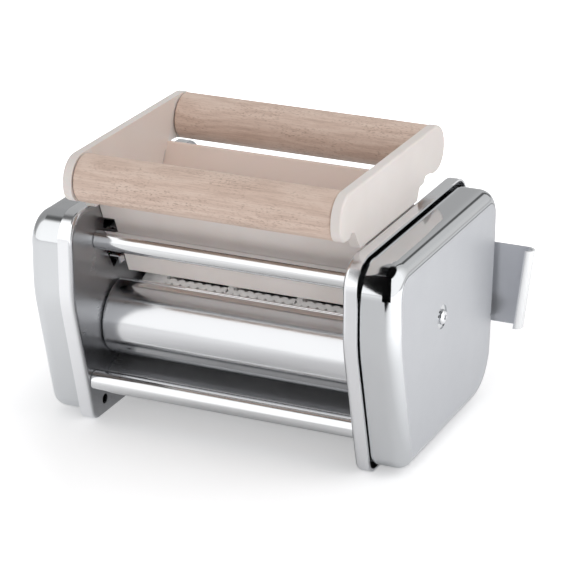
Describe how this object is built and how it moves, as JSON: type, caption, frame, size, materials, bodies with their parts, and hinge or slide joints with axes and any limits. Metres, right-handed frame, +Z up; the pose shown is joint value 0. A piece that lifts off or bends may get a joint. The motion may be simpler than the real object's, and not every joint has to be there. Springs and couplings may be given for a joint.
{
  "type": "ravioli maker",
  "caption": "Hand cranked ravioli attachment: lift-off hopper with beech rollers, geared mould rollers between two pressed steel cheeks with drawn covers, and rear hooks.",
  "frame": {"origin": "bottom centre of the bounding box, on the surface that the two cheek plates stand on", "axes": "+X along the rollers towards the geared right end, +Y from the exit at the front to the hooks at the back, +Z up"},
  "size_m": [0.248, 0.1576, 0.1551],
  "materials": {
    "polished_plate_steel": "polished, chrome plated sheet steel",
    "polished_cover_steel": "satin polished, chrome plated drawn steel",
    "machined_steel": "machined",
    "spring_steel": "bright",
    "chrome_screw": "polished",
    "cast_aluminium": "cast, satin",
    "white_plastic": "moulded",
    "cream_plastic": "moulded, soft sheen",
    "beech": "turned beech, unvarnished"
  },
  "bodies": {
    "frame": {"exit_slide": "polished_plate_steel", "front_guard": "polished_plate_steel", "left_cheek_plate": "polished_plate_steel", "left_cover": "polished_cover_steel", "left_cover_pillar": "machined_steel", "left_cover_screw": "chrome_screw", "left_front_bush": "white_plastic", "left_front_hopper_spring": "spring_steel", "left_hook_bracket": "polished_plate_steel", "left_rear_bush": "white_plastic", "left_rear_hopper_spring": "spring_steel", "left_tie_rod_screws": "chrome_screw", "lower_front_tie_rod": "polished_plate_steel", "lower_rear_tie_rod": "polished_plate_steel", "rear_guard": "polished_plate_steel", "right_cheek_plate": "polished_plate_steel", "right_cover": "polished_cover_steel", "right_cover_pillar": "machined_steel", "right_cover_screw": "chrome_screw", "right_front_bush": "white_plastic", "right_front_hopper_spring": "spring_steel", "right_hook_bracket": "polished_plate_steel", "right_rear_bush": "white_plastic", "right_rear_hopper_spring": "spring_steel", "right_tie_rod_screws": "chrome_screw", "upper_front_tie_rod": "polished_plate_steel", "upper_rear_tie_rod": "polished_plate_steel"},
    "front_mould": {"front_shaft": "machined_steel", "front_shaft_circlips": "machined_steel", "front_mould_roller": "cast_aluminium", "front_roller_gear": "machined_steel", "crank_socket": "machined_steel"},
    "rear_mould": {"rear_shaft": "machined_steel", "rear_shaft_circlips": "machined_steel", "rear_mould_roller": "cast_aluminium", "rear_roller_gear": "machined_steel"},
    "hopper": {"hopper": "cream_plastic"},
    "front_beech": {"front_beech_roller": "beech"},
    "rear_beech": {"rear_beech_roller": "beech"}
  },
  "joints": [
    {"name": "front_mould_spin", "type": "hinge", "parent": "frame", "child": "front_mould", "pos_m": [0, -0.0239, 0.0522], "axis": [1, 0, 0], "continuous": true},
    {"name": "rear_mould_spin", "type": "hinge", "parent": "frame", "child": "rear_mould", "pos_m": [0, 0.0061, 0.0522], "axis": [1, 0, 0], "continuous": true},
    {"name": "hopper_lift", "type": "slide", "parent": "frame", "child": "hopper", "axis": [0, 0, 1], "range_m": [0, 0.05]},
    {"name": "front_beech_spin", "type": "hinge", "parent": "hopper", "child": "front_beech", "pos_m": [0, -0.066, 0.1423], "axis": [1, 0, 0], "continuous": true},
    {"name": "rear_beech_spin", "type": "hinge", "parent": "hopper", "child": "rear_beech", "pos_m": [0, 0.0482, 0.1423], "axis": [1, 0, 0], "continuous": true}
  ],
  "couplings": [
    {"joint": "rear_mould_spin", "follows": "front_mould_spin", "ratio": -1}
  ]
}
